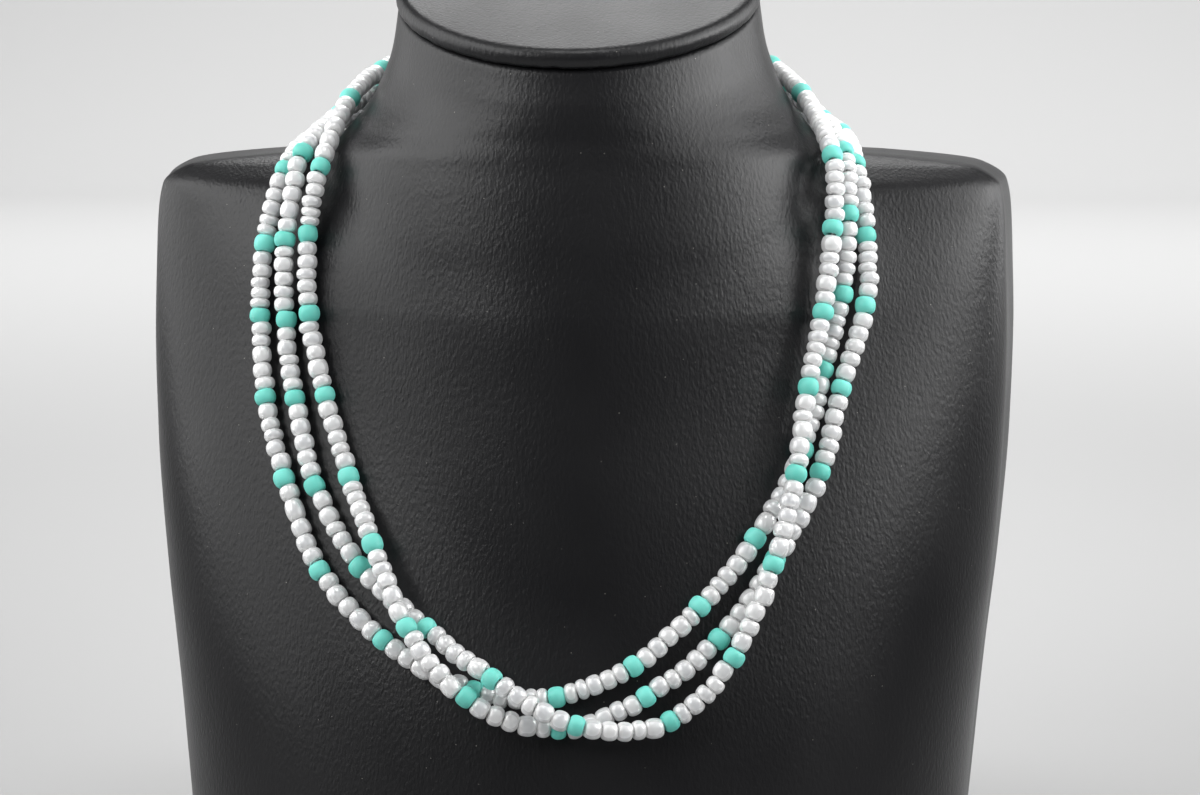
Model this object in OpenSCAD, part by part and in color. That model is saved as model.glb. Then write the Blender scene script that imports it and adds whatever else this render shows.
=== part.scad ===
// Three-strand bead necklace worn by a plain neck bust.
// Units are millimetres. +Z is up, the chest faces -Y, and the base stands on Z = 0.
// X = 0 is the middle of the shoulders, and Y = 0 is halfway between the foot's front and the flat back.

/* [Bust] */
// Height of the neck's top above the base, at the neck's axis
bust_h = 188; // [165:1:230]
// Widest measure across the shoulders
shoulder_w = 174; // [150:1:210]
// Depth of the foot in front of the neck's axis
foot_front = 68; // [55:1:85]
// Depth of the back behind the neck's axis
back_depth = 40; // [38:1:55]
// How much wider the shoulders get towards the flat back
back_flare = 0.05; // [0:0.01:0.1]
// Radius of the blend between the neck and the shoulders
neck_blend = 20; // [14:1:28]

/* [Neck] */
// Width of the neck just under the cap
neck_w = 72; // [64:1:84]
// Forward slant of the neck's top in degrees
neck_slant = 22; // [8:1:30]
// How far the cap's rim stands out from the neck
cap_overhang = 0.6; // [0:0.1:2]
// Thickness of the cap
cap_h = 4.2; // [3:0.1:8]
// Rounding of the cap's rim
cap_round = 1.6; // [0.5:0.1:2.4]
// Clearance between the cap and the neck
cap_gap = 0.1; // [0.05:0.05:0.5]

/* [Strands] */
// Outer diameter of a strand, which is that of its beads
bead_d = 4; // [3:0.1:4.1]
// Clearance between a strand and the bust it lies on
lay_gap = 0.3; // [0.2:0.05:0.8]

/* [Clasp] */
// Diameter of the clasp's upright bar
clasp_bar_d = 4; // [3:0.1:4.4]
// How far the bar runs past the outer strands' middles, at each end
clasp_past_row = 3; // [2:0.1:4]
// Clearance between a strand's end and its socket
end_gap = 0.35; // [0.3:0.05:0.8]
// Diameter of the sockets that the strand ends meet
socket_d = 2.6; // [1.6:0.1:3]

/* [Hidden] */

bust_color = "#26262a";
bead_color = "#e6eaf0";
metal_color = "#b9b9bd";

// The neck's axis stands behind the middle, because the foot reaches further forward than the back does.
axis_y = (foot_front - back_depth) / 2;
neck_r = neck_w / 2;
neck_reach = neck_r * cos(neck_slant);

// Sections of the shoulders: height as a share of bust_h, then half width, front depth and back depth
// as shares of half of shoulder_w, of foot_front and of back_depth.
SHOULDER_ROWS = [
    [0.000, 0.890, 1.000, 1.00],
    [0.133, 0.915, 0.925, 1.00],
    [0.267, 0.940, 0.840, 1.00],
    [0.400, 0.970, 0.715, 1.00],
    [0.530, 0.990, 0.570, 1.00],
    [0.640, 0.995, 0.440, 1.00],
    [0.720, 0.990, 0.350, 1.00],
    [0.770, 0.985, 0.280, 0.99],
    [0.800, 0.975, 0.230, 0.94],
    [0.820, 0.920, 0.145, 0.85],
    [0.833, 0.710, 0.070, 0.68],
    [0.842, 0.280, 0.020, 0.35],
    [0.875, 0.010, 0.010, 0.02]
];

// Sections of the neck and of its flare into the chest: height as a share of bust_h, then half width
// as a share of neck_r, and front and back depth as shares of neck_reach.
NECK_ROWS = [
    [0.320, 0.720, 1.100, 0.40],
    [0.530, 1.050, 1.290, 0.50],
    [0.640, 1.310, 1.270, 0.60],
    [0.745, 1.510, 1.180, 0.78],
    [0.800, 1.480, 1.120, 0.94],
    [0.835, 1.430, 1.080, 1.02],
    [0.867, 1.270, 1.060, 1.02],
    [0.905, 1.130, 1.055, 1.02],
    [0.950, 1.040, 1.045, 1.01],
    [1.000, 1.000, 1.000, 1.00]
];

// Columns of both tables
HEIGHT = 0;
HALF_W = 1;
FRONT = 2;
BACK = 3;

// Squareness of the sections: 2 is an ellipse, more is boxier.
SHOULDER_FRONT_POWER = 2.25;
SHOULDER_BACK_POWER = 7;
NECK_FRONT_POWER = 2.05;
NECK_BACK_POWER = 2.2;

// The slant starts at this share of the height and is whole at the top.
SLANT_START = 0.83;
// The blend narrows towards the neck's top, over this share of the height.
BLEND_FADE = 0.32;
BLEND_LEAST = 0.25;
// The flare reaches its full width at this share of back_depth.
FLARE_DEPTH = 0.8;

// The bust's mesh. Its points lie closer together round the two back corners and at the shoulders' top.
CORNER_ANGLE = atan2(back_depth, shoulder_w / 2);
TO_CORNER = [0, 0.3, 0.55, 0.72, 0.84, 0.93, 1];
PAST_CORNER = [0.035, 0.075, 0.13, 0.22, 0.36, 0.52, 0.68, 0.84, 1];
BACK_ANGLES = concat(
    [for (t = TO_CORNER) CORNER_ANGLE * t],
    [for (t = PAST_CORNER) CORNER_ANGLE + (90 - CORNER_ANGLE) * t]
);
FRONT_STEP = 6;
RING_ANGLES = concat(
    BACK_ANGLES,
    [for (i = [len(BACK_ANGLES) - 2:-1:0]) 180 - BACK_ANGLES[i]],
    [for (angle = [180 + FRONT_STEP:FRONT_STEP:360 - FRONT_STEP]) angle]
);
// Rings as shares of bust_h: one just above the foot, wide steps up the chest, fine steps over the shoulders
// and even steps up the neck.
FOOT_RING = 0.008;
FINE_FROM = 0.68;
FINE_TO = 0.85;
CHEST_RINGS = 17;
SHOULDER_RINGS = 17;
NECK_RINGS = 9;
RING_SHARES = concat(
    [0, FOOT_RING],
    [for (i = [1:CHEST_RINGS]) FINE_FROM * i / CHEST_RINGS],
    [for (i = [1:SHOULDER_RINGS]) FINE_FROM + (FINE_TO - FINE_FROM) * i / SHOULDER_RINGS],
    [for (i = [1:NECK_RINGS]) FINE_TO + (1 - FINE_TO) * i / NECK_RINGS]
);
// The foot's rim is drawn in by this share, over the first ring.
FOOT_INSET = 0.988;

// The necklace's routes, from the clasp at the wearer's right, round the chest and back to the clasp.
// Each row is the middle of a turquoise bead, apart from the first and last, which meet the clasp:
// angle round the neck's axis in degrees, with 270 in front, height on a bust of ROUTE_BUST_H,
// and lift above the lay where strands cross, in bead diameters.
ROUTE_BUST_H = 188;
ANGLE = 0;
LEVEL = 1;
LIFT = 2;
OUTER = 0;
MIDDLE = 1;
INNER = 2;
ROUTES = [
    // Outer
    [
        [99, 167, 0.05], [112, 167, 0.05], [136, 166, 0.05], [160, 163, 0.05], [180, 158.5, 0.3],
        [191.5, 151.5, 0.3], [196, 139, 0.05], [199.5, 125.5, 0], [204.5, 110, 0], [211.5, 95, 0],
        [221.5, 78.5, 0], [235, 66.5, 0], [253, 58, 0], [269, 57.5, 0], [284, 63, 0],
        [298, 73.5, 0], [310.5, 85.5, 0], [322.5, 101.5, 0], [329.5, 116.5, 0], [335.5, 130.5, 0.05],
        [341, 144.5, 0.5], [346, 156.5, 0.6], [369, 163.5, 0.1], [393, 167.5, 0.05],
        [418, 169.5, 0.05], [441, 170, 0.05]
    ],
    // Middle
    [
        [99, 170, 0.05], [111, 170, 0.05], [134, 169.5, 0.05], [158, 167, 0.05], [179, 163, 0.15],
        [193, 152.5, 1], [199, 139.5, 0.4], [203, 125, 0.05], [208.5, 110, 0.05], [216.5, 94, 0.05],
        [228, 79.5, 0.05], [242.5, 69, 0.15], [257, 60, 1.15], [273, 52, 1.15], [290, 53, 0.2],
        [302, 64, 0.65], [311.5, 80, 1.2], [319, 96.5, 1.15], [325, 113, 0.85], [330.5, 127.5, 0.6],
        [336, 142, 0.8], [340, 156, 0.8], [363.5, 167, 0.1], [388, 170.5, 0.05],
        [413, 172.5, 0.1], [441, 173, 0.1]
    ],
    // Inner
    [
        [99, 173, 0.05], [113, 173, 0.05], [136, 172.5, 0.05], [160, 170.5, 0.05], [184, 166, 0.3],
        [200, 154, 0.4], [202, 141, 0.2], [206.5, 126.5, 0.05], [213, 111, 0.05],
        [221.5, 96, 0.05], [230, 83.5, 0.7], [240, 68.5, 1.2], [252.5, 56.5, 1.1], [269.5, 51.5, 0.1],
        [286, 57.5, 0.05], [300.5, 67.5, 0.05], [313, 81.5, 0.05], [324, 97, 0.3],
        [331, 112.5, 0.4], [338, 128, 0.4], [342.5, 141, 0.1], [349.5, 153, 0.2],
        [368, 159, 0.3], [391, 164, 0.05], [416, 166.5, 0.05], [441, 167, 0.1]
    ]
];
TUBE_SIDES = 8;
RINGS_PER_STEP = 3;

// Sides of the round pieces
CAP_SIDES = 96;
SMALL_SIDES = 32;

// The clasp lies straight behind the neck, with a row at each of these heights on a bust of ROUTE_BUST_H.
CLASP_ANGLE = 90;
CLASP_ROWS = [167, 170, 173];
CLASP_LIFT = 0.05;

function clamp(x, low, high) = min(max(x, low), high);
function ease(u) = let (c = clamp(u, 0, 1)) c * c * (3 - 2 * c);
function unit(v) = v / norm(v);

// A smooth curve through a table's rows that never overshoots them
function step_h(rows, i) = rows[i + 1][HEIGHT] - rows[i][HEIGHT];
function step_slope(rows, col, i) = (rows[i + 1][col] - rows[i][col]) / step_h(rows, i);
function row_slope(rows, col, i) =
    i == 0 ? step_slope(rows, col, 0) :
    i == len(rows) - 1 ? step_slope(rows, col, i - 1) :
    let (before = step_slope(rows, col, i - 1), after = step_slope(rows, col, i))
    before * after <= 0 ? 0 : 2 * before * after / (before + after);
function row_below(rows, share, i = 0) =
    i >= len(rows) - 2 || rows[i + 1][HEIGHT] > share ? i : row_below(rows, share, i + 1);
function read_rows(rows, col, share) =
    let (
        s = clamp(share, rows[0][HEIGHT], rows[len(rows) - 1][HEIGHT]),
        i = row_below(rows, s),
        h = step_h(rows, i),
        u = (s - rows[i][HEIGHT]) / h
    )
    (2 * pow(u, 3) - 3 * pow(u, 2) + 1) * rows[i][col]
    + (pow(u, 3) - 2 * pow(u, 2) + u) * h * row_slope(rows, col, i)
    + (3 * pow(u, 2) - 2 * pow(u, 3)) * rows[i + 1][col]
    + (pow(u, 3) - pow(u, 2)) * h * row_slope(rows, col, i + 1);

// Radius of a rounded box section with half width a and depth b, at an angle
function section_r(angle, a, b, power) =
    pow(pow(abs(cos(angle)) / a, power) + pow(abs(sin(angle)) / b, power), -1 / power);

function shoulder_r(angle, share) =
    let (half_w = read_rows(SHOULDER_ROWS, HALF_W, share) * shoulder_w / 2)
    sin(angle) > 0 ?
        let (
            depth = read_rows(SHOULDER_ROWS, BACK, share) * back_depth,
            straight_r = section_r(angle, half_w, depth, SHOULDER_BACK_POWER),
            flare = back_flare * ease(straight_r * sin(angle) / back_depth / FLARE_DEPTH)
        )
        section_r(angle, half_w * (1 + flare), depth, SHOULDER_BACK_POWER) :
        section_r(angle, half_w, read_rows(SHOULDER_ROWS, FRONT, share) * foot_front, SHOULDER_FRONT_POWER);

function neck_section_r(angle, share) =
    let (half_w = read_rows(NECK_ROWS, HALF_W, share) * neck_r)
    sin(angle) > 0 ?
        section_r(angle, half_w, read_rows(NECK_ROWS, BACK, share) * neck_reach, NECK_BACK_POWER) :
        section_r(angle, half_w, read_rows(NECK_ROWS, FRONT, share) * neck_reach, NECK_FRONT_POWER);

// Radius of the whole bust: the larger of the two sections, with a smooth blend where they meet
function bust_r(angle, share) =
    let (
        a = shoulder_r(angle, share),
        b = neck_section_r(angle, share),
        blend = neck_blend * clamp((1 - share) / BLEND_FADE, BLEND_LEAST, 1),
        mix = clamp(0.5 + (a - b) / blend / 2, 0, 1)
    )
    b + (a - b) * mix + blend * mix * (1 - mix);

// A point of the bust's surface. Rings near the top lean forward with the neck's slant.
function bust_point(angle, share, scale = 1) =
    let (
        r = bust_r(angle, share) * scale,
        lean = tan(neck_slant) * ease((share - SLANT_START) / (1 - SLANT_START))
    )
    [r * cos(angle), axis_y + r * sin(angle), share * bust_h + lean * r * sin(angle)];

// The direction straight out of the surface, from small steps round and up it
ANGLE_STEP = 0.05;
SHARE_STEP = 0.0003;
function bust_normal(angle, share) =
    unit(cross(
        bust_point(angle + ANGLE_STEP, share) - bust_point(angle - ANGLE_STEP, share),
        bust_point(angle, share + SHARE_STEP) - bust_point(angle, share - SHARE_STEP)
    ));

// The middle of a strand at a row of its route
function strand_point(row) =
    let (share = row[LEVEL] / ROUTE_BUST_H)
    bust_point(row[ANGLE], share)
    + bust_normal(row[ANGLE], share) * (bead_d / 2 + lay_gap + row[LIFT] * bead_d);

// A curve through the points of a route
function curve_at(p, i, u) =
    let (
        last = len(p) - 1,
        before = i == 0 ? 2 * p[0] - p[1] : p[i - 1],
        after = i + 1 == last ? 2 * p[last] - p[last - 1] : p[i + 2]
    )
    (2 * p[i] + (p[i + 1] - before) * u
        + (2 * before - 5 * p[i] + 4 * p[i + 1] - after) * u * u
        + (3 * p[i] - before - 3 * p[i + 1] + after) * u * u * u) / 2;

function curve_points(p) = concat(
    [for (i = [0:len(p) - 2], k = [0:RINGS_PER_STEP - 1]) curve_at(p, i, k / RINGS_PER_STEP)],
    [p[len(p) - 1]]
);

// Ring of a tube round one point of its path, turned the same way all along
function tube_ring(path, i) =
    let (
        along = unit(path[min(i + 1, len(path) - 1)] - path[max(i - 1, 0)]),
        outward = [path[i].x, path[i].y - axis_y, 0],
        side = unit(cross(along, outward)),
        up = cross(side, along)
    )
    [for (k = [0:TUBE_SIDES - 1])
        let (turn = 360 * (k + 0.5) / TUBE_SIDES)
        path[i] + (side * cos(turn) + up * sin(turn)) * bead_d / 2];

// Quads between rings of n points, closed by two flat ends
function loft_faces(rings, n) = concat(
    [for (i = [0:rings - 2], k = [0:n - 1])
        [i * n + k, (i + 1) * n + k, (i + 1) * n + (k + 1) % n, i * n + (k + 1) % n]],
    [[for (k = [0:n - 1]) k]],
    [[for (k = [n - 1:-1:0]) (rings - 1) * n + k]]
);

module bust_form() {
    points = [
        for (i = [0:len(RING_SHARES) - 1], angle = RING_ANGLES)
            bust_point(angle, RING_SHARES[i], i == 0 ? FOOT_INSET : 1)
    ];
    color(bust_color)
        polyhedron(points, loft_faces(len(RING_SHARES), len(RING_ANGLES)), convexity = 6);
}

module neck_cap() {
    cap_r = neck_r + cap_overhang;
    color(bust_color)
        translate([0, axis_y, bust_h])
        rotate([neck_slant, 0, 0])
        translate([0, 0, cap_gap])
        rotate_extrude($fn = CAP_SIDES)
        union() {
            square([cap_r - cap_round, cap_h]);
            translate([0, cap_round]) square([cap_r, cap_h - 2 * cap_round]);
            for (level = [cap_round, cap_h - cap_round])
                translate([cap_r - cap_round, level]) circle(r = cap_round, $fn = SMALL_SIDES);
        }
}

module strand(route) {
    path = curve_points([for (row = route) strand_point(row)]);
    points = [for (i = [0:len(path) - 1]) each tube_ring(path, i)];
    color(bead_color)
        polyhedron(points, loft_faces(len(path), TUBE_SIDES), convexity = 10);
}

module strand_outer() {
    strand(ROUTES[OUTER]);
}

module strand_middle() {
    strand(ROUTES[MIDDLE]);
}

module strand_inner() {
    strand(ROUTES[INNER]);
}

module clasp() {
    rows = [for (level = CLASP_ROWS) strand_point([CLASP_ANGLE, level, CLASP_LIFT])];
    foot = rows[0].z - clasp_past_row;
    top = rows[len(rows) - 1].z + clasp_past_row;
    ends = [for (route = ROUTES, i = [0, len(route) - 1]) strand_point(route[i])];
    reach = min([for (end = ends) abs(end.x)]) - end_gap;
    color(metal_color)
        union() {
            translate([0, rows[0].y, foot]) cylinder(d = clasp_bar_d, h = top - foot, $fn = SMALL_SIDES);
            for (row = rows)
                translate([-reach, row.y, row.z])
                rotate([0, 90, 0])
                cylinder(d = socket_d, h = 2 * reach, $fn = SMALL_SIDES);
        }
}

bust_form();
neck_cap();
strand_outer();
strand_middle();
strand_inner();
clasp();
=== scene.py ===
"""Three strands of pearl and turquoise glass beads on a black leatherette neck bust."""
import math

import bpy
import numpy as np
from mathutils import Matrix, Vector, noise


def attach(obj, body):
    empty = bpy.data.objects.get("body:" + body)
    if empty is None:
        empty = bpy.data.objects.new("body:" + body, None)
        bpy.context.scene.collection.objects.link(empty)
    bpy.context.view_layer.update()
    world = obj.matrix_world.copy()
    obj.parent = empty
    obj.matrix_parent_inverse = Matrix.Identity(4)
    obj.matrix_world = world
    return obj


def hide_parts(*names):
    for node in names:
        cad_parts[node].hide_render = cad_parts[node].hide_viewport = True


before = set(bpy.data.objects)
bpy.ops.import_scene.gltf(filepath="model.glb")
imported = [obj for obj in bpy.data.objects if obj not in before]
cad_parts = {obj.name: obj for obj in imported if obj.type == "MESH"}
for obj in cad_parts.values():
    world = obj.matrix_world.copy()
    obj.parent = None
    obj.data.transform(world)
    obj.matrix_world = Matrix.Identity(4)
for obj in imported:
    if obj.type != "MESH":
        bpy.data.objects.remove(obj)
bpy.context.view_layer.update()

MM = 0.001

# The bust's form, in millimetres, as the CAD solid has it.
BUST_H = 188.0
SHOULDER_W = 174.0
FOOT_FRONT = 68.0
BACK_DEPTH = 40.0
BACK_FLARE = 0.05
NECK_BLEND = 20.0
NECK_W = 72.0
NECK_SLANT = math.radians(22)
CAP_OVERHANG = 0.6
CAP_H = 4.2
CAP_GAP = 0.1
AXIS_Y = (FOOT_FRONT - BACK_DEPTH) / 2
NECK_R = NECK_W / 2
NECK_REACH = NECK_R * math.cos(NECK_SLANT)

# Height as a share of BUST_H, then half width, front depth and back depth as shares of the named sizes.
SHOULDER_ROWS = np.array([
    [0.000, 0.890, 1.000, 1.00],
    [0.133, 0.915, 0.925, 1.00],
    [0.267, 0.940, 0.840, 1.00],
    [0.400, 0.970, 0.715, 1.00],
    [0.530, 0.990, 0.570, 1.00],
    [0.640, 0.995, 0.440, 1.00],
    [0.720, 0.990, 0.350, 1.00],
    [0.770, 0.985, 0.280, 0.99],
    [0.800, 0.975, 0.230, 0.94],
    [0.820, 0.920, 0.145, 0.85],
    [0.833, 0.710, 0.070, 0.68],
    [0.842, 0.280, 0.020, 0.35],
    [0.875, 0.010, 0.010, 0.02],
])
NECK_ROWS = np.array([
    [0.320, 0.720, 1.100, 0.40],
    [0.530, 1.050, 1.290, 0.50],
    [0.640, 1.310, 1.270, 0.60],
    [0.745, 1.510, 1.180, 0.78],
    [0.800, 1.480, 1.120, 0.94],
    [0.835, 1.430, 1.080, 1.02],
    [0.867, 1.270, 1.060, 1.02],
    [0.905, 1.130, 1.055, 1.02],
    [0.950, 1.040, 1.045, 1.01],
    [1.000, 1.000, 1.000, 1.00],
])
HEIGHT, HALF_W, FRONT, BACK = 0, 1, 2, 3
SHOULDER_FRONT_POWER = 2.25
SHOULDER_BACK_POWER = 7
NECK_FRONT_POWER = 2.05
NECK_BACK_POWER = 2.2
SLANT_START = 0.83
BLEND_FADE = 0.32
BLEND_LEAST = 0.25
FLARE_DEPTH = 0.8

# The strands' routes, as the CAD tubes have them: angle round the neck's axis in degrees, with 270 in
# front, height, and lift above the lay in bead diameters. Each row in view is a turquoise bead's middle.
BEAD_D = 4.0
LAY_GAP = 0.3
ROUTES = {
    "outer": [
        [99, 167, 0.05], [112, 167, 0.05], [136, 166, 0.05], [160, 163, 0.05], [180, 158.5, 0.3],
        [191.5, 151.5, 0.3], [196, 139, 0.05], [199.5, 125.5, 0], [204.5, 110, 0], [211.5, 95, 0],
        [221.5, 78.5, 0], [235, 66.5, 0], [253, 58, 0], [269, 57.5, 0], [284, 63, 0],
        [298, 73.5, 0], [310.5, 85.5, 0], [322.5, 101.5, 0], [329.5, 116.5, 0], [335.5, 130.5, 0.05],
        [341, 144.5, 0.5], [346, 156.5, 0.6], [369, 163.5, 0.1], [393, 167.5, 0.05],
        [418, 169.5, 0.05], [441, 170, 0.05],
    ],
    "middle": [
        [99, 170, 0.05], [111, 170, 0.05], [134, 169.5, 0.05], [158, 167, 0.05], [179, 163, 0.15],
        [193, 152.5, 1], [199, 139.5, 0.4], [203, 125, 0.05], [208.5, 110, 0.05], [216.5, 94, 0.05],
        [228, 79.5, 0.05], [242.5, 69, 0.15], [257, 60, 1.15], [273, 52, 1.15], [290, 53, 0.2],
        [302, 64, 0.65], [311.5, 80, 1.2], [319, 96.5, 1.15], [325, 113, 0.85], [330.5, 127.5, 0.6],
        [336, 142, 0.8], [340, 156, 0.8], [363.5, 167, 0.1], [388, 170.5, 0.05],
        [413, 172.5, 0.1], [441, 173, 0.1],
    ],
    "inner": [
        [99, 173, 0.05], [113, 173, 0.05], [136, 172.5, 0.05], [160, 170.5, 0.05], [184, 166, 0.3],
        [200, 154, 0.4], [202, 141, 0.2], [206.5, 126.5, 0.05], [213, 111, 0.05],
        [221.5, 96, 0.05], [230, 83.5, 0.7], [240, 68.5, 1.2], [252.5, 56.5, 1.1], [269.5, 51.5, 0.1],
        [286, 57.5, 0.05], [300.5, 67.5, 0.05], [313, 81.5, 0.05], [324, 97, 0.3],
        [331, 112.5, 0.4], [338, 128, 0.4], [342.5, 141, 0.1], [349.5, 153, 0.2],
        [368, 159, 0.3], [391, 164, 0.05], [416, 166.5, 0.05], [441, 167, 0.1],
    ],
}
# First and last row of each route that carries a turquoise bead; behind the neck the pattern runs on evenly.
ROWS_IN_VIEW = {"outer": (5, 21), "middle": (5, 22), "inner": (4, 21)}

# Round 6/0 seed beads, in millimetres
PEARL_LENGTH = 2.8
TURQUOISE_LENGTH = 3.15
PEARLS_BETWEEN = 5
HOLE_D = 1.3
BEAD_CLEARANCE = 0.005
THREAD_D = 0.7


def ease(u):
    c = np.clip(u, 0, 1)
    return c * c * (3 - 2 * c)


def read_rows(rows, share):
    """The table's three widths at each share of the height, on a smooth curve that stays within its rows."""
    h = np.diff(rows[:, HEIGHT])
    s = np.clip(share, rows[0, HEIGHT], rows[-1, HEIGHT])
    i = np.clip(np.searchsorted(rows[:, HEIGHT], s, side="right") - 1, 0, len(h) - 1)
    u = (s - rows[i, HEIGHT]) / h[i]
    columns = []
    for column in (HALF_W, FRONT, BACK):
        value = rows[:, column]
        step = np.diff(value) / h
        slope = np.concatenate([[step[0]], np.zeros(len(h) - 1), [step[-1]]])
        turning = step[:-1] * step[1:] <= 0
        total = np.where(turning, 1, step[:-1] + step[1:])
        slope[1:-1] = np.where(turning, 0, 2 * step[:-1] * step[1:] / total)
        columns.append(
            (2 * u**3 - 3 * u**2 + 1) * value[i]
            + (u**3 - 2 * u**2 + u) * h[i] * slope[i]
            + (3 * u**2 - 2 * u**3) * value[i + 1]
            + (u**3 - u**2) * h[i] * slope[i + 1]
        )
    return columns


def section_r(angle, a, b, power):
    """Radius of a rounded box section with half width a and depth b."""
    return ((np.abs(np.cos(angle)) / a) ** power + (np.abs(np.sin(angle)) / b) ** power) ** (-1 / power)


def bust_r(angle, share):
    """Radius of the bust round the neck's axis: shoulders and neck, with a smooth blend where they meet."""
    behind = np.sin(angle) > 0
    half_w, front, back = read_rows(SHOULDER_ROWS, share)
    half_w, front, back = half_w * SHOULDER_W / 2, front * FOOT_FRONT, back * BACK_DEPTH
    straight = section_r(angle, half_w, back, SHOULDER_BACK_POWER)
    flare = 1 + BACK_FLARE * ease(straight * np.sin(angle) / BACK_DEPTH / FLARE_DEPTH)
    shoulders = np.where(
        behind,
        section_r(angle, half_w * flare, back, SHOULDER_BACK_POWER),
        section_r(angle, half_w, front, SHOULDER_FRONT_POWER),
    )
    half_w, front, back = read_rows(NECK_ROWS, share)
    half_w, front, back = half_w * NECK_R, front * NECK_REACH, back * NECK_REACH
    neck = np.where(
        behind,
        section_r(angle, half_w, back, NECK_BACK_POWER),
        section_r(angle, half_w, front, NECK_FRONT_POWER),
    )
    blend = NECK_BLEND * np.clip((1 - share) / BLEND_FADE, BLEND_LEAST, 1)
    mix = np.clip(0.5 + (shoulders - neck) / blend / 2, 0, 1)
    return neck + (shoulders - neck) * mix + blend * mix * (1 - mix)


def bust_point(angle, share, inset=0.0):
    """Points of the bust's surface, in millimetres; inset draws them in towards the axis."""
    r = bust_r(angle, share) - inset
    lean = math.tan(NECK_SLANT) * ease((share - SLANT_START) / (1 - SLANT_START))
    out = r * np.sin(angle)
    return np.stack([r * np.cos(angle), AXIS_Y + out, share * BUST_H + lean * out], -1)


def bust_normal(angle, share):
    around = bust_point(angle + 1e-3, share) - bust_point(angle - 1e-3, share)
    upward = bust_point(angle, share + 3e-4) - bust_point(angle, share - 3e-4)
    n = np.cross(around, upward)
    return n / np.linalg.norm(n, axis=-1, keepdims=True)


def new_piece(name, points_mm, faces, material):
    """A smooth-shaded mesh piece from points in millimetres, with one material."""
    mesh = bpy.data.meshes.new(name)
    mesh.from_pydata((np.asarray(points_mm) * MM).tolist(), [], faces)
    mesh.materials.append(material)
    mesh.shade_smooth()
    mesh.validate()
    piece = bpy.data.objects.new(name, mesh)
    bpy.context.scene.collection.objects.link(piece)
    return piece


def ring_faces(rings, around):
    """Quads between rings of points that close on themselves, facing outwards."""
    faces = []
    for i in range(rings - 1):
        low, high = i * around, (i + 1) * around
        for k in range(around):
            after = (k + 1) % around
            faces.append((low + k, low + after, high + after, high + k))
    return faces


# Materials


def linear(hex_colour):
    """An sRGB hex colour as linear RGBA."""
    parts = [int(hex_colour[i:i + 2], 16) / 255 for i in (1, 3, 5)]
    return [p / 12.92 if p <= 0.04045 else ((p + 0.055) / 1.055) ** 2.4 for p in parts] + [1.0]


def per_mm(size_mm):
    """Texture scale that repeats a pattern once in each size_mm."""
    return 1 / (size_mm * MM)


def add(tree, kind, sockets=None, **settings):
    """Adds a node, sets it up, and fills or links its sockets."""
    made = tree.nodes.new(kind)
    for name, value in settings.items():
        setattr(made, name, value)
    for name, value in (sockets or {}).items():
        if isinstance(value, bpy.types.NodeSocket):
            tree.links.new(value, made.inputs[name])
        else:
            made.inputs[name].default_value = value
    return made


def new_material(name, base_hex=None, **sockets):
    """A material with one Principled shader, in a plain colour if given; returns its tree and shader too."""
    material = bpy.data.materials.new(name)
    material.use_nodes = True
    tree = material.node_tree
    tree.nodes.clear()
    if base_hex:
        sockets["Base Color"] = linear(base_hex)
    shader = add(tree, "ShaderNodeBsdfPrincipled", sockets)
    add(tree, "ShaderNodeOutputMaterial", {"Surface": shader.outputs["BSDF"]})
    return material, tree, shader


# How far the pebbles' outlines wander
GRAIN_BEND = 0.6 * MM
DUST_SPACING = 3.0
# A speck's radius, as a share of that spacing
DUST_RADIUS = 0.035


def black_leatherette():
    """PVC-coated cloth, calendered with an upright pebble grain: near black, soft sheen, specks of dust."""
    material, tree, shader = new_material("black_leatherette", **{"IOR": 1.5, "Specular IOR Level": 0.33})
    place = add(tree, "ShaderNodeTexCoord").outputs["Object"]
    upright = add(tree, "ShaderNodeMapping", {"Vector": place, "Scale": (1.0, 1.0, 0.5)}).outputs["Vector"]
    warp = add(tree, "ShaderNodeTexNoise", {"Vector": place, "Scale": per_mm(2.2), "Detail": 2.0})
    bent = add(
        tree, "ShaderNodeMixRGB", {"Fac": GRAIN_BEND, "Color1": upright, "Color2": warp.outputs["Color"]},
    )
    pebbles = add(
        tree, "ShaderNodeTexVoronoi", {"Vector": bent.outputs["Color"], "Scale": per_mm(0.64)},
        feature="SMOOTH_F1",
    )
    fine = add(tree, "ShaderNodeTexNoise", {"Vector": upright, "Scale": per_mm(0.4), "Detail": 2.0})
    height = add(
        tree, "ShaderNodeMath",
        {0: pebbles.outputs["Distance"], 1: -1.0, 2: fine.outputs["Fac"]}, operation="MULTIPLY_ADD",
    )
    grain = add(
        tree, "ShaderNodeBump",
        {"Strength": 1.0, "Distance": 0.055 * MM, "Height": height.outputs["Value"]},
    )
    tree.links.new(grain.outputs["Normal"], shader.inputs["Normal"])
    patches = add(tree, "ShaderNodeTexNoise", {"Vector": place, "Scale": per_mm(30), "Detail": 2.0})
    sheen = add(
        tree, "ShaderNodeMapRange",
        {"Value": patches.outputs["Fac"], "From Min": 0.35, "From Max": 0.65, "To Min": 0.33, "To Max": 0.4},
    )
    tree.links.new(sheen.outputs["Result"], shader.inputs["Roughness"])
    dust = add(tree, "ShaderNodeTexVoronoi", {"Vector": place, "Scale": per_mm(DUST_SPACING)})
    speck = add(
        tree, "ShaderNodeMath", {0: dust.outputs["Distance"], 1: DUST_RADIUS}, operation="LESS_THAN",
    )
    skin = add(
        tree, "ShaderNodeMixRGB",
        {"Fac": speck.outputs["Value"], "Color1": linear("#101012"), "Color2": linear("#6E6C68")},
    )
    tree.links.new(skin.outputs["Color"], shader.inputs["Base Color"])
    return material


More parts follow.
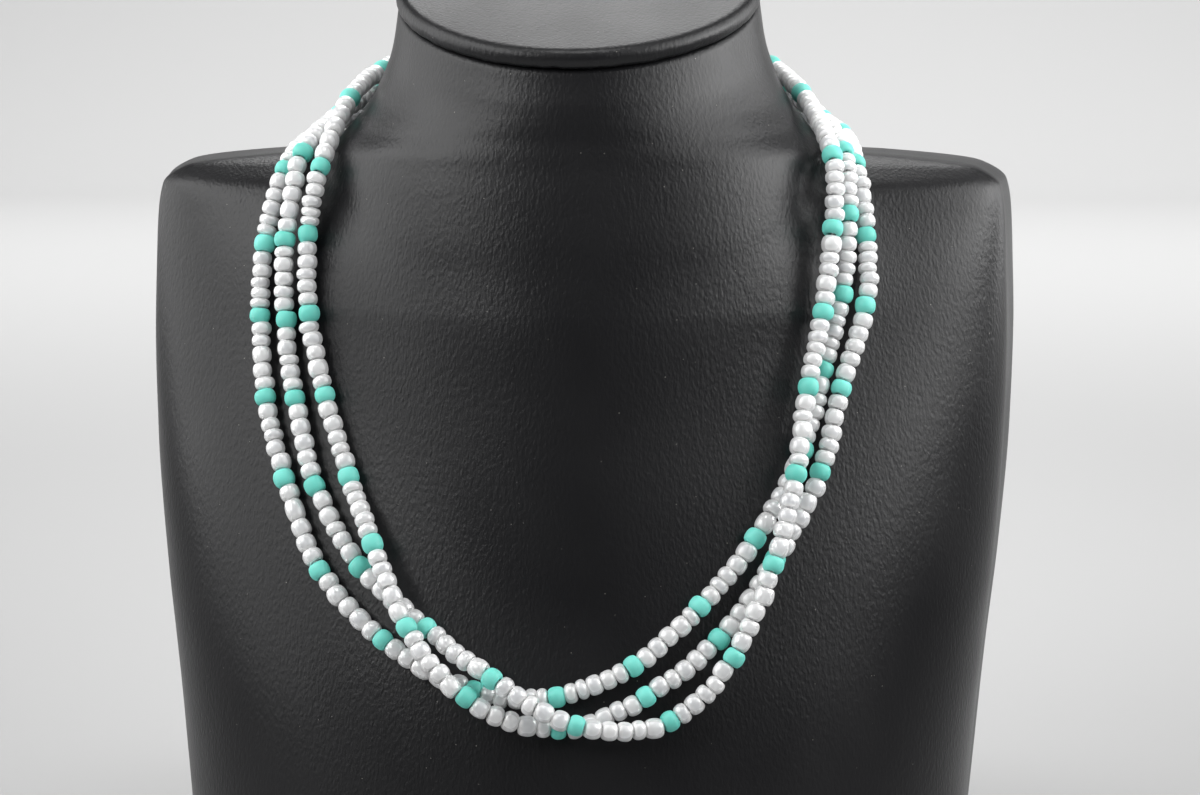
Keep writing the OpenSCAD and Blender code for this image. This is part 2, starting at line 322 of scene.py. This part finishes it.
def pearl_glass():
    """Milky seed bead glass under a fired metal-oxide lustre: greyish core, white rims that are a painted
    highlight, small highlights from the coat.
    """
    material, tree, shader = new_material(
        "pearl_lustre_glass",
        **{
            "Roughness": 0.4, "IOR": 1.5, "Transmission Weight": 0.35,
            "Subsurface Weight": 1.0, "Subsurface Radius": (1.0, 1.0, 1.0), "Subsurface Scale": 3.2 * MM,
            "Coat Weight": 0.8, "Coat Roughness": 0.07, "Coat IOR": 1.7,
            "Sheen Weight": 0.3, "Sheen Roughness": 0.5,
        },
    )
    tone = add(tree, "ShaderNodeAttribute", attribute_name="bead_tone").outputs["Fac"]
    # Painted highlight: each bead's colour is mixed towards white at its rims, standing in for the side
    # lights' reflection on the bead ends.
    rim = add(tree, "ShaderNodeAttribute", attribute_name="bead_rim_highlight").outputs["Fac"]
    core = add(
        tree, "ShaderNodeMixRGB", {"Fac": tone, "Color1": linear("#DCDEE1"), "Color2": linear("#F2F3F3")},
    )
    body = add(
        tree, "ShaderNodeMixRGB", {"Fac": rim, "Color1": core.outputs["Color"], "Color2": linear("#FCFCFC")},
    )
    tree.links.new(body.outputs["Color"], shader.inputs["Base Color"])
    return material


def turquoise_glass():
    """Opaque turquoise seed bead glass with an etched matt skin: even colour, broad weak highlight."""
    material, tree, shader = new_material(
        "matt_turquoise_glass",
        **{
            "Roughness": 0.55, "IOR": 1.52, "Subsurface Weight": 0.6, "Subsurface Radius": (0.6, 1.0, 1.0),
            "Subsurface Scale": 0.9 * MM,
        },
    )
    tone = add(tree, "ShaderNodeAttribute", attribute_name="bead_tone").outputs["Fac"]
    body = add(
        tree, "ShaderNodeMixRGB", {"Fac": tone, "Color1": linear("#60BFB2"), "Color2": linear("#75D2C6")},
    )
    tree.links.new(body.outputs["Color"], shader.inputs["Base Color"])
    return material


def nylon_thread():
    """Clear nylon beading thread, drawn smooth: a pale glint between the beads."""
    return new_material("nylon_thread", "#DADADA", **{"Roughness": 0.35, "IOR": 1.53})[0]


def silver_plate():
    """Brass plated with bright silver and tumbled: mirror-like, with faint hairlines."""
    material, tree, shader = new_material("silver_plate", "#C9C8C6", Metallic=1.0)
    place = add(tree, "ShaderNodeTexCoord").outputs["Object"]
    lines = add(tree, "ShaderNodeTexNoise", {"Vector": place, "Scale": per_mm(0.3), "Detail": 4.0})
    rubbed = add(
        tree, "ShaderNodeMapRange",
        {"Value": lines.outputs["Fac"], "From Min": 0.3, "From Max": 0.7, "To Min": 0.1, "To Max": 0.24},
    )
    tree.links.new(rubbed.outputs["Result"], shader.inputs["Roughness"])
    return material


def studio_paper():
    """Pale grey background paper, rolled out under and behind the bust: quite matt."""
    return new_material("studio_paper", "#B4B4B4", **{"Roughness": 0.9, "IOR": 1.4})[0]


# The bust

FOOT_ROUND = 1.6
NECK_EDGE_ROUND = 1.0
CHEST_RINGS = 60
SHOULDER_RINGS = 90
NECK_RINGS = 36
FINE_FROM = 0.68
FINE_TO = 0.85
EDGE_RINGS = 6
FRONT_STEPS = 132
BACK_STEPS = 118
CORNER_WIDTH = 0.06
CORNER_PULL = 0.55


def crowd(u, centre):
    """Moves even shares u closer together round a centre, so that more points fall there."""
    away = (u - centre) / CORNER_WIDTH
    return u - CORNER_PULL * CORNER_WIDTH * np.tanh(away) * np.exp(-(away / 3) ** 2)


def ring_angles():
    """Angles round the bust, closer together at the back's two corners."""
    corner = math.atan2(BACK_DEPTH, SHOULDER_W / 2) / math.pi
    even = np.arange(BACK_STEPS) / BACK_STEPS
    back = crowd(crowd(even, corner), 1 - corner) * math.pi
    front = math.pi + math.pi * np.arange(FRONT_STEPS) / FRONT_STEPS
    return np.concatenate([back, front])


def bust_cover(material):
    """The leatherette over the whole bust: turned under at the foot and tucked in under the neck's cap."""
    foot = np.linspace(0, math.pi / 2, EDGE_RINGS, endpoint=False)
    chest = np.linspace(FOOT_ROUND / BUST_H, FINE_FROM, CHEST_RINGS, endpoint=False)
    shoulders = np.linspace(FINE_FROM, FINE_TO, SHOULDER_RINGS, endpoint=False)
    neck = np.linspace(FINE_TO, 1 - NECK_EDGE_ROUND / BUST_H, NECK_RINGS, endpoint=False)
    edge = np.linspace(0, math.pi / 2, EDGE_RINGS + 1)
    shares = np.concatenate([
        FOOT_ROUND * (1 - np.cos(foot)) / BUST_H, chest, shoulders, neck,
        1 - NECK_EDGE_ROUND * (1 - np.sin(edge)) / BUST_H,
    ])
    insets = np.concatenate([
        FOOT_ROUND * (1 - np.sin(foot)), np.zeros(CHEST_RINGS + SHOULDER_RINGS + NECK_RINGS),
        NECK_EDGE_ROUND * (1 - np.cos(edge)),
    ])
    angles = ring_angles()
    share, angle = np.meshgrid(shares, angles, indexing="ij")
    points = bust_point(angle, share, insets[:, None]).reshape(-1, 3)
    around = len(angles)
    faces = ring_faces(len(shares), around)
    faces.append(tuple(range(around - 1, -1, -1)))
    faces.append(tuple((len(shares) - 1) * around + k for k in range(around)))
    piece = new_piece("bust_cover", points, faces, material)
    for end in (-1, -2):
        piece.data.polygons[end].use_smooth = False
    return piece


CAP_SEGMENTS = 224
CAP_TOP_RINGS = 14
CAP_EDGE_RINGS = 12
CAP_FOOT_RINGS = 8
CAP_MIDDLE = 0.12
CAP_TOP_ROUND = 2.3
CAP_FOOT_ROUND = 1.1
CAP_CROWN = 0.35
CAP_TUCK = 1.5
# The tucked edge's puckers, in millimetres and in waves: broad ones, and finer ones as a share of them
CAP_PUCKER = 0.16
PUCKER_WAVES = 9
PUCKER_LEVEL = 1.7
FINE_PUCKER = 0.6
FINE_PUCKER_WAVES = 3.1


def cap_cover(material):
    """The padded cap on the neck: softly crowned, its edge drawn down and puckered where it is tucked in."""
    rim = NECK_R + CAP_OVERHANG
    top = CAP_H - CAP_CROWN
    profile = []
    for share in np.linspace(CAP_MIDDLE, 1, CAP_TOP_RINGS, endpoint=False):
        r = share * (rim - CAP_TOP_ROUND)
        profile.append((r, top + CAP_CROWN * (1 - (r / rim) ** 2)))
    for turn in np.linspace(0, math.pi / 2, CAP_EDGE_RINGS):
        r = rim - CAP_TOP_ROUND * (1 - math.sin(turn))
        profile.append((r, top - CAP_TOP_ROUND * (1 - math.cos(turn))))
    for turn in np.linspace(0, math.pi / 2, CAP_FOOT_RINGS):
        r = rim - CAP_FOOT_ROUND * (1 - math.cos(turn))
        profile.append((r, CAP_FOOT_ROUND * (1 - math.sin(turn))))
    profile.append((rim - CAP_FOOT_ROUND - CAP_TUCK, 0.0))
    points = []
    lean = Matrix.Rotation(NECK_SLANT, 4, "X")
    for r, z in profile:
        low = max(0.0, 1 - z / top) if r > rim - CAP_TOP_ROUND else 0.0
        for k in range(CAP_SEGMENTS):
            turn = 2 * math.pi * k / CAP_SEGMENTS
            at = Vector((math.cos(turn) * PUCKER_WAVES, math.sin(turn) * PUCKER_WAVES, PUCKER_LEVEL))
            fold = noise.noise(at) + FINE_PUCKER * noise.noise(at * FINE_PUCKER_WAVES)
            pucker = CAP_PUCKER * low * fold
            out = r - abs(pucker)
            p = lean @ Vector((out * math.cos(turn), out * math.sin(turn), z + CAP_GAP + abs(pucker)))
            points.append((p.x, p.y + AXIS_Y, p.z + BUST_H))
    faces = ring_faces(len(profile), CAP_SEGMENTS)
    faces = [tuple(reversed(f)) for f in faces]
    faces.append(tuple(range(CAP_SEGMENTS)))
    faces.append(tuple((len(profile) - 1) * CAP_SEGMENTS + k for k in range(CAP_SEGMENTS - 1, -1, -1)))
    piece = new_piece("cap_cover", points, faces, material)
    piece.data.polygons[len(piece.data.polygons) - 1].use_smooth = False
    return piece


# The strands

CURVE_STEPS = 40
BEAD_SIDES = 28
OUTER_POINTS = 14
INNER_POINTS = 5
# Where a bead is longest, as a share of the way from its hole to its side
CREST = 0.3
# A bead's painted highlight, white towards its rims: where it starts, as a share of its half length, and how
# far it takes to blend in
HIGHLIGHT_RIM_FROM = 0.35
HIGHLIGHT_RIM_BLEND = 0.5
# How uneven beads are: lengths and width as shares of the plain size, wedge and oval as shares at most,
# tilts as slopes and shifts in millimetres, both as standard deviations. Roundness is 2 for an ellipse.
PEARL_LENGTHS = (0.78, 1.25)
TURQUOISE_LENGTHS = (0.92, 1.08)
WIDTHS = (0.94, 1.02)
MOST_WEDGE = 0.04
MOST_OVAL = 0.03
TILT_ASIDE, TILT_OUT = 0.08, 0.05
SHIFT_ASIDE, SHIFT_IN = 0.12, 0.06
PEARL_D = BEAD_D * 0.985
TURQUOISE_D = BEAD_D * 1.05
PEARL_ROUNDNESS = (1.95, 2.3)
TURQUOISE_ROUNDNESS = (2.0, 2.3)
THREAD_SIDES = 8
THREAD_STRIDE = 8
FIRST_SEED = 11


def strand_path(route):
    """A strand's middle as a smooth curve: points, outward normals, arc lengths, and each row's length."""
    rows = np.array(route, float)
    angle, share, lift = np.radians(rows[:, 0]), rows[:, 1] / BUST_H, rows[:, 2]
    normal = bust_normal(angle, share)
    p = bust_point(angle, share) + normal * (BEAD_D / 2 + LAY_GAP + lift * BEAD_D)[:, None]
    p = np.concatenate([[2 * p[0] - p[1]], p, [2 * p[-1] - p[-2]]])
    n = np.concatenate([normal[:1], normal, normal[-1:]])
    u = (np.arange(CURVE_STEPS) / CURVE_STEPS)[:, None]
    curve, out = [], []
    for i in range(1, len(p) - 2):
        a, b, c, d = p[i - 1:i + 3]
        curve.append((2 * b + (c - a) * u + (2 * a - 5 * b + 4 * c - d) * u**2
                      + (3 * b - a - 3 * c + d) * u**3) / 2)
        out.append(n[i] * (1 - u) + n[i + 1] * u)
    curve = np.concatenate(curve + [p[-2:-1]])
    out = np.concatenate(out + [n[-1:]])
    lengths = np.concatenate([[0], np.cumsum(np.linalg.norm(np.diff(curve, axis=0), axis=1))])
    return curve, out, lengths, lengths[::CURVE_STEPS]


def bead_plan(name, at_rows, total, rng):
    """Middle and length of each bead from clasp to clasp: a turquoise bead at each mark, pearls between."""
    first, last = ROWS_IN_VIEW[name]
    step = PEARLS_BETWEEN * PEARL_LENGTH + TURQUOISE_LENGTH
    marks = list(at_rows[first:last + 1])
    while marks[0] - step > step / 2:
        marks.insert(0, marks[0] - step)
    while marks[-1] + step < total - step / 2:
        marks.append(marks[-1] + step)
    turquoise = [(mark, TURQUOISE_LENGTH * rng.uniform(*TURQUOISE_LENGTHS)) for mark in marks]
    sides = [x for mark, length in turquoise for x in (mark - length / 2, mark + length / 2)]
    edges = [0.0] + sides + [total]
    pearls = []
    for start, end in zip(edges[::2], edges[1::2]):
        count = round((end - start) / PEARL_LENGTH)
        if start > 0 and end < total:
            count = PEARLS_BETWEEN if abs(count - PEARLS_BETWEEN) <= 1 else count
        raw = rng.uniform(*PEARL_LENGTHS, count)
        raw *= (end - start) / raw.sum()
        ends = start + np.cumsum(raw)
        pearls += [(e - r / 2, r) for e, r in zip(ends, raw)]
    return pearls, turquoise


def bead_mesh(length, diameter, roundness, rng):
    """One drilled bead round the Z axis, a little uneven; returns its points and their nearness to a rim,
    the mask of the painted highlight.
    """
    outer = np.linspace(-90, 90, OUTER_POINTS)
    inner = np.linspace(90, 270, INNER_POINTS + 2)[1:-1]
    phi = np.radians(np.concatenate([outer, inner]))
    turn = 2 * math.pi * np.arange(BEAD_SIDES) / BEAD_SIDES
    c, s = np.cos(phi), np.sin(phi)
    x = np.sign(c) * np.abs(c) ** (2 / roundness)
    z = np.sign(s) * np.abs(s) ** (2 / roundness)
    hole = HOLE_D / 2
    crest = hole + CREST * (diameter / 2 - hole)
    reach = np.where(x > 0, diameter / 2 - crest, crest - hole)
    wedge = rng.uniform(0, MOST_WEDGE) * np.cos(turn - rng.uniform(0, 2 * math.pi))
    oval = rng.uniform(0, MOST_OVAL) * np.cos(2 * turn - rng.uniform(0, 2 * math.pi))
    r = crest + (x * reach)[:, None] * np.ones(BEAD_SIDES)
    r = r * (1 + oval * (r - hole) / (diameter / 2 - hole))
    height = z[:, None] * (length / 2 - BEAD_CLEARANCE) * (1 - np.abs(wedge) + wedge)
    points = np.stack([r * np.cos(turn), r * np.sin(turn), height], -1).reshape(-1, 3)
    return points, np.repeat(ease((np.abs(z) - HIGHLIGHT_RIM_FROM) / HIGHLIGHT_RIM_BLEND), BEAD_SIDES)


def bead_faces():
    """Quads of one bead: sections times sides, closed both ways."""
    sections = OUTER_POINTS + INNER_POINTS
    faces = []
    for i in range(sections):
        low, high = i * BEAD_SIDES, ((i + 1) % sections) * BEAD_SIDES
        for k in range(BEAD_SIDES):
            after = (k + 1) % BEAD_SIDES
            faces.append((low + k, low + after, high + after, high + k))
    return np.array(faces)


def unit(v):
    return v / np.linalg.norm(v)


def read_path(values, lengths, at):
    """A path's points or normals at one length along it."""
    return np.array([np.interp(at, lengths, values[:, k]) for k in range(3)])


def place_beads(name, beads, path, diameter, roundness, material, rng):
    """Threads beads on a path as one joined mesh, each with its own tilt, shift and tone."""
    curve, out, lengths, _ = path
    one = bead_faces()
    points, faces, tones, rim_highlights = [], [], [], []
    for at, length in beads:
        middle = read_path(curve, lengths, at)
        along = unit(read_path(curve, lengths, at + 1) - read_path(curve, lengths, at - 1))
        side = unit(np.cross(along, read_path(out, lengths, at)))
        up = np.cross(side, along)
        along = unit(along + side * rng.normal(0, TILT_ASIDE) + up * rng.normal(0, TILT_OUT))
        side = unit(np.cross(along, up))
        up = np.cross(side, along)
        middle = middle + side * rng.normal(0, SHIFT_ASIDE) - up * abs(rng.normal(0, SHIFT_IN))
        local, rim = bead_mesh(length, diameter * rng.uniform(*WIDTHS), rng.uniform(*roundness), rng)
        spin = np.stack([side, up, along])
        faces.append(one + len(points) * len(local))
        points.append(local @ spin + middle)
        tones.append(np.full(len(local), rng.uniform(0, 1)))
        rim_highlights.append(rim)
    piece = new_piece(name, np.concatenate(points), np.concatenate(faces).tolist(), material)
    # The second attribute is the mask of the painted highlight on each bead's rims.
    for label, values in (("bead_tone", tones), ("bead_rim_highlight", rim_highlights)):
        attribute = piece.data.attributes.new(label, "FLOAT", "POINT")
        attribute.data.foreach_set("value", np.concatenate(values).astype(np.float32))
    return piece


def thread(name, path, material):
    """The nylon thread through one strand's beads."""
    curve, out, _, _ = path
    curve, out = curve[::THREAD_STRIDE], out[::THREAD_STRIDE]
    along = np.gradient(curve, axis=0)
    along /= np.linalg.norm(along, axis=1, keepdims=True)
    side = np.cross(along, out)
    side /= np.linalg.norm(side, axis=1, keepdims=True)
    up = np.cross(side, along)
    turn = 2 * math.pi * np.arange(THREAD_SIDES) / THREAD_SIDES
    rings = curve[:, None] + THREAD_D / 2 * (
        side[:, None] * np.cos(turn)[:, None] + up[:, None] * np.sin(turn)[:, None]
    )
    faces = ring_faces(len(curve), THREAD_SIDES)
    faces.append(tuple(range(THREAD_SIDES - 1, -1, -1)))
    faces.append(tuple((len(curve) - 1) * THREAD_SIDES + k for k in range(THREAD_SIDES)))
    return new_piece(name, rings.reshape(-1, 3), faces, material)


def dress_strand(name, seed, pearl, turquoise, nylon):
    """One strand's pearl beads, turquoise beads and thread, in place of its plain tube."""
    rng = np.random.default_rng(seed)
    path = strand_path(ROUTES[name])
    pearls, marks = bead_plan(name, path[3], path[2][-1], rng)
    pieces = [
        place_beads(f"{name}_pearls", pearls, path, PEARL_D, PEARL_ROUNDNESS, pearl, rng),
        place_beads(f"{name}_turquoise", marks, path, TURQUOISE_D, TURQUOISE_ROUNDNESS, turquoise, rng),
        thread(f"{name}_thread", path, nylon),
    ]
    for piece in pieces:
        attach(piece, "root")
        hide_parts(f"strand_{name}")


# The studio

SWEEP_W = 6.0
SWEEP_FRONT = -4.0
SWEEP_BACK = 2.4
SWEEP_R = 0.45
SWEEP_H = 2.0
SWEEP_STEPS = 24


def studio_sweep(material):
    """Background paper: a level floor that curves up into a wall behind."""
    line = [(SWEEP_FRONT, 0.0)]
    for turn in np.linspace(0, math.pi / 2, SWEEP_STEPS):
        line.append((SWEEP_BACK - SWEEP_R * (1 - math.sin(turn)), SWEEP_R * (1 - math.cos(turn))))
    line.append((SWEEP_BACK, SWEEP_H))
    points = [(x, y, z) for y, z in line for x in (-SWEEP_W / 2, SWEEP_W / 2)]
    faces = [(2 * i, 2 * i + 1, 2 * i + 3, 2 * i + 2) for i in range(len(line) - 1)]
    sweep = new_piece("studio_sweep", np.array(points) / MM, faces, material)


def softbox(name, place, aim, size, radiance, spread):
    """A rectangular soft light, aimed at a point; spread is its beam's full angle in degrees."""
    lamp = bpy.data.lights.new(name, "AREA")
    lamp.shape = "RECTANGLE"
    lamp.size, lamp.size_y = size
    lamp.energy = radiance * math.pi * size[0] * size[1]
    lamp.spread = math.radians(spread)
    box = bpy.data.objects.new(name, lamp)
    box.location = place
    box.rotation_euler = (Vector(aim) - Vector(place)).to_track_quat("-Z", "Y").to_euler()
    box.visible_camera = False
    bpy.context.scene.collection.objects.link(box)


# Upright panels beside the bust, in metres: place across, front and back edge, lower and upper edge,
# then radiance and beam angle.
SIDE_PANELS = {
    "left_low_panel": (-0.38, (-0.29, 0.08), (0.08, 0.19), 1.2, 120),
    "left_middle_panel": (-0.38, (-0.29, 0.08), (0.19, 0.32), 1.75, 120),
    "left_high_panel": (-0.38, (-0.29, 0.08), (0.32, 0.65), 4.2, 180),
    "left_front_panel": (-0.38, (-0.59, -0.29), (0.30, 0.75), 6.7, 180),
    "left_back_panel": (-0.42, (0.10, 0.50), (0.12, 0.50), 1.15, 120),
    "right_middle_panel": (0.38, (-0.29, 0.08), (0.19, 0.32), 4.4, 120),
    "right_high_panel": (0.38, (-0.29, 0.08), (0.32, 0.65), 4.5, 180),
    "right_front_panel": (0.38, (-0.59, -0.29), (0.30, 0.75), 2.35, 180),
    "right_back_panel": (0.42, (0.10, 0.50), (0.12, 0.50), 2.0, 120),
}
# The other lights, in metres: place, what it is aimed at, width and height, then radiance and beam angle.
AIMED_LIGHTS = {
    "top_softbox": ((0, 0.5, 0.75), (0, 0, 0.16), (0.55, 0.3), 4.4, 180),
    "overhead_softbox": ((0, -0.2, 0.62), (0, -0.03, 0.12), (0.2, 0.12), 10, 180),
    "paper_light": ((0, 0.8, 2.0), (0, 1.75, 0), (2.4, 0.5), 9.5, 100),
}
AIR_GLOW = 0.1


def studio_lights():
    """Soft panels close by on both sides, one light behind, a small one overhead and one on the paper."""
    for name, (x, y, z, radiance, spread) in SIDE_PANELS.items():
        middle = (x, sum(y) / 2, sum(z) / 2)
        softbox(name, middle, (0, middle[1], middle[2]), (y[1] - y[0], z[1] - z[0]), radiance, spread)
    for name, (place, aim, size, radiance, spread) in AIMED_LIGHTS.items():
        softbox(name, place, aim, size, radiance, spread)
    world = bpy.data.worlds.new("studio_air")
    world.use_nodes = True
    world.node_tree.nodes["Background"].inputs["Color"].default_value = linear("#FFFFFF")
    world.node_tree.nodes["Background"].inputs["Strength"].default_value = AIR_GLOW
    bpy.context.scene.world = world
    bpy.context.scene.view_settings.view_transform = "Standard"


CAMERA_TARGET = Vector((6.1, -22.0, 112.0)) * MM
CAMERA_DISTANCE = 0.6
CAMERA_TURN = math.radians(3)
CAMERA_RISE = math.radians(8)
CAMERA_FOCAL = 93.6
CAMERA_SENSOR = 36
CAMERA_NEAR = 0.02


def photo_camera():
    """The camera at the photograph's place: a little to the wearer's left and above the chest."""
    back = Vector((
        math.sin(CAMERA_TURN) * math.cos(CAMERA_RISE),
        -math.cos(CAMERA_TURN) * math.cos(CAMERA_RISE),
        math.sin(CAMERA_RISE),
    ))
    lens = bpy.data.cameras.new("photo_camera")
    lens.lens = CAMERA_FOCAL
    lens.sensor_width = CAMERA_SENSOR
    lens.clip_start = CAMERA_NEAR
    camera = bpy.data.objects.new("photo_camera", lens)
    camera.location = CAMERA_TARGET + back * CAMERA_DISTANCE
    camera.rotation_euler = back.to_track_quat("Z", "Y").to_euler()
    bpy.context.scene.collection.objects.link(camera)
    bpy.context.scene.camera = camera


photo_camera()
leatherette = black_leatherette()
for piece, node in ((bust_cover(leatherette), "bust_form"), (cap_cover(leatherette), "neck_cap")):
    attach(piece, "root")
    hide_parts(node)

pearl, turquoise, nylon = pearl_glass(), turquoise_glass(), nylon_thread()
for seed, name in enumerate(ROUTES):
    dress_strand(name, FIRST_SEED + seed, pearl, turquoise, nylon)

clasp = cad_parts["clasp"]
clasp.data.materials.clear()
clasp.data.materials.append(silver_plate())

studio_sweep(studio_paper())
studio_lights()
